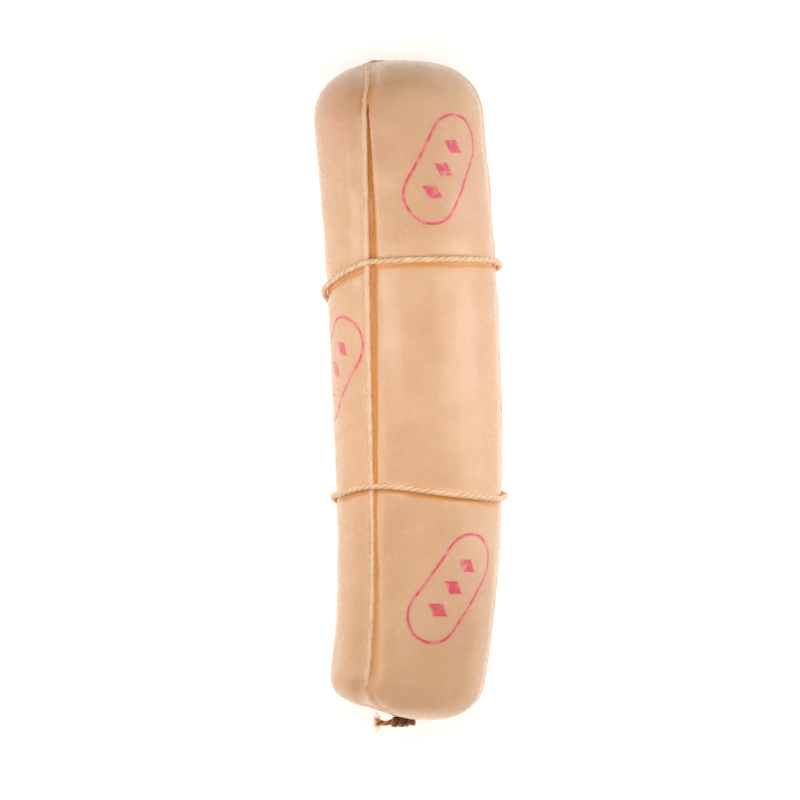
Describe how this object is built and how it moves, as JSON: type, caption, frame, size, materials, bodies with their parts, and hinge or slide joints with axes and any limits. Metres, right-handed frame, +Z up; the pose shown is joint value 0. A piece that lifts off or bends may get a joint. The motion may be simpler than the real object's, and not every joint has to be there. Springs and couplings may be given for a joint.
{
  "type": "provolone cheese",
  "caption": "Whole waxed provolone cheese log bound with string, lying on its side.",
  "frame": {"origin": "bottom centre of the bounding box, on the surface the cheese lies on", "axes": "+Y along the log, towards the end that was uppermost as it hung; +Z up from the resting flat; the string knot is at the -Y end"},
  "size_m": [0.1354, 0.4664, 0.1223],
  "materials": {
    "waxed_rind": "thin satin wax over a pale yellow rind",
    "waxed_string": "twisted string soaked in wax"
  },
  "bodies": {
    "root": {"cheese": "waxed_rind", "cord_lengthwise_inner": "waxed_string", "cord_lengthwise_outer": "waxed_string", "knot": "waxed_string", "hoop_upper": "waxed_string", "hoop_upper_knot": "waxed_string", "hoop_lower": "waxed_string", "hoop_lower_knot": "waxed_string"}
  },
  "joints": []
}
